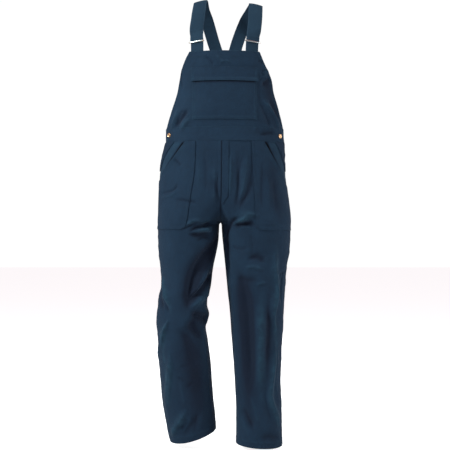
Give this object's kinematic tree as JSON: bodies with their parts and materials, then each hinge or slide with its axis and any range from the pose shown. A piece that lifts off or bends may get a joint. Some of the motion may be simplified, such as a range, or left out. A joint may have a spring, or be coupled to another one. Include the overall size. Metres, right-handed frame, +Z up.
{
  "type": "bib-and-brace work overalls",
  "caption": "Dark navy heavy cotton bib-and-brace work overalls, filled out as worn, with crossed braces, wire buckles, a flapped bib pocket and slanted hip pockets",
  "frame": {"origin": "between the two braces where they pass over the shoulders, at the height of the shoulders, where the wearer holds the garment up", "axes": "+Z up, the front faces -Y, +X is the wearer's left"},
  "size_m": [0.4687, 0.2856, 1.5583],
  "materials": {
    "navy_drill": "matte twill",
    "brace_drill": "matte twill",
    "buckle_metal": "nickel plated",
    "button_metal": "copper toned"
  },
  "bodies": {
    "root": {"bib_front": "navy_drill", "bib_pocket": "navy_drill", "bib_pocket_flap": "navy_drill", "waistband_front": "navy_drill", "waistband_back": "navy_drill", "leg_front_right": "navy_drill", "leg_front_left": "navy_drill", "leg_back_right": "navy_drill", "leg_back_left": "navy_drill", "fly_flap": "navy_drill", "hip_pocket_right": "navy_drill", "hip_pocket_left": "navy_drill", "side_placket_right": "navy_drill", "side_placket_left": "navy_drill", "strap_right": "brace_drill", "strap_left": "brace_drill", "strap_tab_right": "brace_drill", "strap_tab_left": "brace_drill", "buckle_right": "buckle_metal", "buckle_left": "buckle_metal", "button_right": "button_metal", "button_left": "button_metal"}
  },
  "joints": []
}
